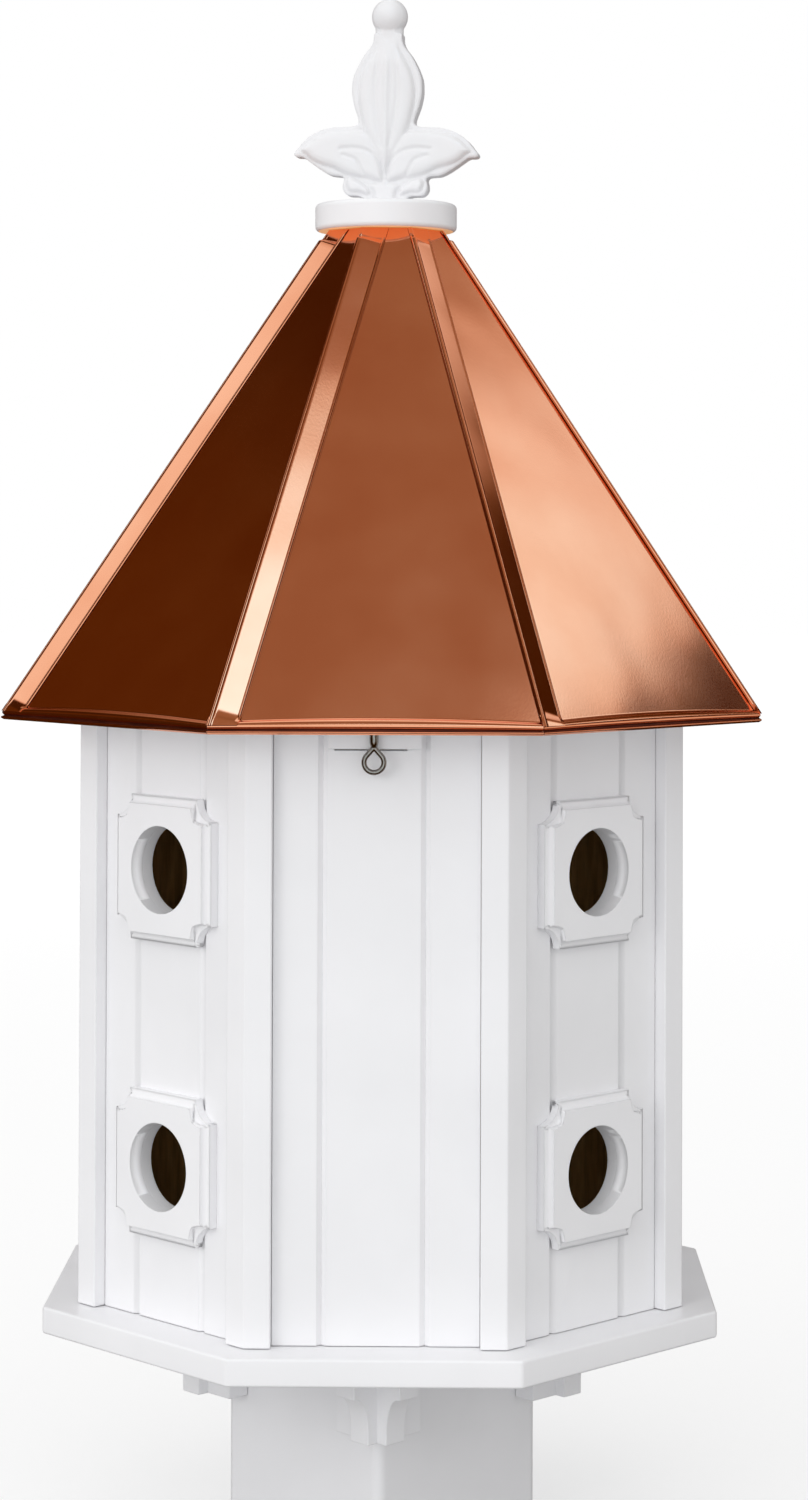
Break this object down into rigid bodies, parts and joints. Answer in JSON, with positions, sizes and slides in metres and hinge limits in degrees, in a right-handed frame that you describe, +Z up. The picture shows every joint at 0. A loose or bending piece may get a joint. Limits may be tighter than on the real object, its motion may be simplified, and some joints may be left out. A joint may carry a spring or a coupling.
{
  "type": "multi-chamber birdhouse",
  "caption": "Octagonal white birdhouse with round entry holes, a faceted copper roof with folded hip seams, a fleur-de-lis finial and a square post sleeve.",
  "frame": {"origin": "centre of the lower end of the post sleeve", "axes": "+Z up, front with the screw eye towards -Y, +X to the right"},
  "size_m": [0.3372, 0.3372, 0.7047],
  "materials": {
    "white_pvc": "satin white cellular PVC board",
    "copper": "polished bright copper sheet",
    "plated_steel": "zinc plated wire",
    "inside_board": "raw dark board"
  },
  "bodies": {
    "house": {"base_slab": "white_pvc", "bracket_back": "white_pvc", "bracket_front": "white_pvc", "bracket_left": "white_pvc", "bracket_right": "white_pvc", "corner_post_1": "white_pvc", "corner_post_2": "white_pvc", "corner_post_3": "white_pvc", "corner_post_4": "white_pvc", "corner_post_5": "white_pvc", "corner_post_6": "white_pvc", "corner_post_7": "white_pvc", "corner_post_8": "white_pvc", "divider_lower_across": "inside_board", "divider_lower_along": "inside_board", "divider_upper_across": "inside_board", "divider_upper_along": "inside_board", "finial": "white_pvc", "finial_disc": "white_pvc", "hip_seam_1": "copper", "hip_seam_2": "copper", "hip_seam_3": "copper", "hip_seam_4": "copper", "hip_seam_5": "copper", "hip_seam_6": "copper", "hip_seam_7": "copper", "hip_seam_8": "copper", "latch_pad": "white_pvc", "mid_floor": "inside_board", "panel_back": "white_pvc", "panel_front": "white_pvc", "panel_left": "white_pvc", "panel_left_back": "white_pvc", "panel_left_front": "white_pvc", "panel_right": "white_pvc", "panel_right_back": "white_pvc", "panel_right_front": "white_pvc", "plate_left_back_lower": "white_pvc", "plate_left_back_upper": "white_pvc", "plate_left_front_lower": "white_pvc", "plate_left_front_upper": "white_pvc", "plate_right_back_lower": "white_pvc", "plate_right_back_upper": "white_pvc", "plate_right_front_lower": "white_pvc", "plate_right_front_upper": "white_pvc", "post_sleeve": "white_pvc", "roof_deck": "inside_board", "roof_panel_back": "copper", "roof_panel_front": "copper", "roof_panel_left": "copper", "roof_panel_left_back": "copper", "roof_panel_left_front": "copper", "roof_panel_right": "copper", "roof_panel_right_back": "copper", "roof_panel_right_front": "copper", "soffit_board": "white_pvc"},
    "screw_eye": {"screw_eye": "plated_steel"}
  },
  "joints": [
    {"name": "eye_turn", "type": "hinge", "parent": "house", "child": "screw_eye", "pos_m": [-0.0013, -0.1355, 0.3597], "axis": [0, 0, 1], "continuous": true}
  ]
}
